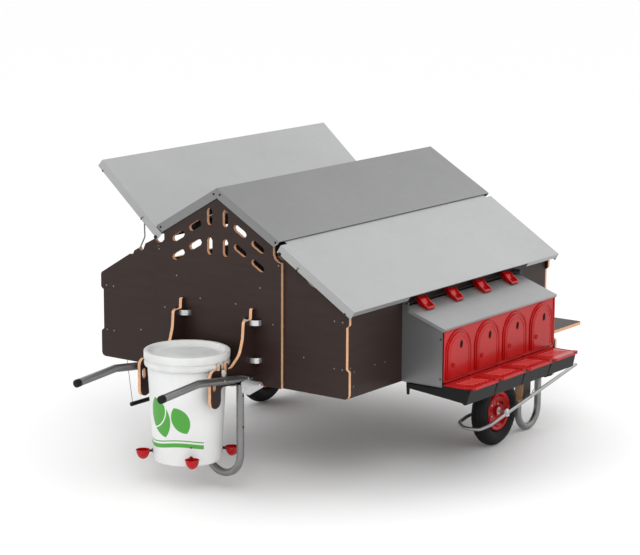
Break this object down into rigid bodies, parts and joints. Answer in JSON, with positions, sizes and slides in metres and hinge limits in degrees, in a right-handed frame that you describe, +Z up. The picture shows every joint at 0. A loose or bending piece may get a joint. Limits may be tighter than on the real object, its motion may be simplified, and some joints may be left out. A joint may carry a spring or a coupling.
{
  "type": "mobile poultry house",
  "caption": "Plywood poultry house on wheelbarrow wheels, with folding galvanised roof flaps, red roll-away nests and a hanging drinking bucket.",
  "frame": {"origin": "on the ground, under the middle of the overall box", "axes": "+X across the gable to the nest side, +Y along the ridge from the handles to the landing board, +Z up"},
  "size_m": [2.15, 3.1062, 1.6295],
  "materials": {
    "film_plywood": "dark brown film-faced plywood with pale raw edges",
    "galvanised_sheet": "satin galvanised sheet",
    "galvanised_tube": "galvanised tube and bar",
    "red_plastic": "glossy moulded plastic",
    "black_plastic": "satin black plastic",
    "tyre_rubber": "matt black rubber",
    "white_plastic": "white plastic bucket with a plain green print"
  },
  "bodies": {
    "house": {"front_centre_panel": "film_plywood", "rear_centre_panel": "film_plywood", "front_wing_right": "film_plywood", "front_wing_left": "film_plywood", "rear_wing_right": "film_plywood", "rear_wing_left": "film_plywood", "side_wall_right": "film_plywood", "side_wall_left": "film_plywood", "floor_panel": "film_plywood", "lever_plate_right": "film_plywood", "lever_plate_left": "film_plywood", "bracket_plate_right": "film_plywood", "bracket_plate_left": "film_plywood", "roof_upper_right": "galvanised_sheet", "roof_upper_left": "galvanised_sheet", "nest_side_front": "galvanised_sheet", "nest_side_rear": "galvanised_sheet", "rear_leg_right": "galvanised_tube", "rear_leg_left": "galvanised_tube", "front_leg": "galvanised_tube", "handle_right": "galvanised_tube", "handle_left": "galvanised_tube", "nest_front": "red_plastic", "nest_lid_rod": "black_plastic", "handle_cap_right": "black_plastic", "handle_cap_left": "black_plastic", "tray_peg": "black_plastic", "egg_tray_1": "black_plastic", "egg_tray_2": "black_plastic", "egg_tray_3": "black_plastic", "egg_tray_4": "black_plastic"},
    "flap_right": {"roof_flap_right": "galvanised_sheet"},
    "flap_left": {"roof_flap_left": "galvanised_sheet"},
    "prop_right": {"prop_rod_right": "galvanised_tube"},
    "prop_left": {"prop_rod_left": "galvanised_tube"},
    "nest_roof": {"nest_lid": "galvanised_sheet", "lid_clip_1": "red_plastic", "lid_clip_2": "red_plastic", "lid_clip_3": "red_plastic", "lid_clip_4": "red_plastic"},
    "board": {"landing_board": "film_plywood"},
    "lever_right": {"wheel_lever_right": "galvanised_tube"},
    "lever_left": {"wheel_lever_left": "galvanised_tube"},
    "wheel_right": {"tyre_right": "tyre_rubber", "rim_right": "red_plastic"},
    "wheel_left": {"tyre_left": "tyre_rubber", "rim_left": "red_plastic"},
    "water_bucket": {"bucket": "white_plastic", "cup_1": "red_plastic", "cup_2": "red_plastic", "cup_3": "red_plastic", "cup_4": "red_plastic"},
    "water_lid": {"bucket_lid": "white_plastic"},
    "bar": {"hanging_bar": "black_plastic"},
    "egg_lid_1": {"tray_lid_1": "red_plastic"},
    "egg_lid_2": {"tray_lid_2": "red_plastic"},
    "egg_lid_3": {"tray_lid_3": "red_plastic"},
    "egg_lid_4": {"tray_lid_4": "red_plastic"}
  },
  "joints": [
    {"name": "flap_right_hinge", "type": "hinge", "parent": "house", "child": "flap_right", "pos_m": [0.2355, 0.1469, 1.251], "axis": [0, -1, 0], "range_deg": [0, 73.2]},
    {"name": "flap_left_hinge", "type": "hinge", "parent": "house", "child": "flap_left", "pos_m": [-0.5855, 0.1469, 1.251], "axis": [0, 1, 0], "range_deg": [-73.2, 0]},
    {"name": "prop_right_hook", "type": "hinge", "parent": "flap_right", "child": "prop_right", "pos_m": [0.3529, -0.7491, 1.1917], "axis": [0, -1, 0], "range_deg": [-117.12, 0]},
    {"name": "prop_left_hook", "type": "hinge", "parent": "flap_left", "child": "prop_left", "pos_m": [-0.6762, -0.7491, 1.3463], "axis": [0, 1, 0], "range_deg": [0, 117.12]},
    {"name": "nest_roof_hinge", "type": "hinge", "parent": "house", "child": "nest_roof", "pos_m": [0.663, 0.3234, 0.961], "axis": [0, -1, 0], "range_deg": [0, 34]},
    {"name": "landing_board_hinge", "type": "hinge", "parent": "house", "child": "board", "pos_m": [-0.175, 1.2384, 0.563], "axis": [1, 0, 0], "range_deg": [0, 90]},
    {"name": "lever_right_pivot", "type": "hinge", "parent": "house", "child": "lever_right", "pos_m": [0.715, 0.9469, 0.2355], "axis": [1, 0, 0], "range_deg": [-20, 8]},
    {"name": "lever_left_pivot", "type": "hinge", "parent": "house", "child": "lever_left", "pos_m": [-1.065, 0.9469, 0.2355], "axis": [1, 0, 0], "range_deg": [-20, 8]},
    {"name": "wheel_right_axle", "type": "hinge", "parent": "lever_right", "child": "wheel_right", "pos_m": [0.637, 0.6869, 0.2], "axis": [1, 0, 0], "continuous": true},
    {"name": "wheel_left_axle", "type": "hinge", "parent": "lever_left", "child": "wheel_left", "pos_m": [-0.987, 0.6869, 0.2], "axis": [1, 0, 0], "continuous": true},
    {"name": "egg_lid_1_hinge", "type": "hinge", "parent": "house", "child": "egg_lid_1", "pos_m": [0.9055, -0.1183, 0.5675], "axis": [0, -1, 0], "range_deg": [0, 75]},
    {"name": "egg_lid_2_hinge", "type": "hinge", "parent": "house", "child": "egg_lid_2", "pos_m": [0.9055, 0.1552, 0.5675], "axis": [0, -1, 0], "range_deg": [0, 75]},
    {"name": "egg_lid_3_hinge", "type": "hinge", "parent": "house", "child": "egg_lid_3", "pos_m": [0.9055, 0.4287, 0.5675], "axis": [0, -1, 0], "range_deg": [0, 75]},
    {"name": "egg_lid_4_hinge", "type": "hinge", "parent": "house", "child": "egg_lid_4", "pos_m": [0.9055, 0.7021, 0.5675], "axis": [0, -1, 0], "range_deg": [0, 75]},
    {"name": "bucket_lift", "type": "slide", "parent": "house", "child": "water_bucket", "axis": [0, 0, 1], "range_m": [0, 0.25]},
    {"name": "bucket_lid_lift", "type": "slide", "parent": "water_bucket", "child": "water_lid", "axis": [0, 0, 1], "range_m": [0, 0.12]},
    {"name": "bar_swing", "type": "hinge", "parent": "house", "child": "bar", "pos_m": [-0.851, -0.4331, 0.5505], "axis": [0, 1, 0], "range_deg": [-30, 30]}
  ],
  "couplings": [
    {"joint": "prop_right_hook", "follows": "flap_right_hinge", "ratio": -1.6},
    {"joint": "prop_left_hook", "follows": "flap_left_hinge", "ratio": -1.6}
  ]
}
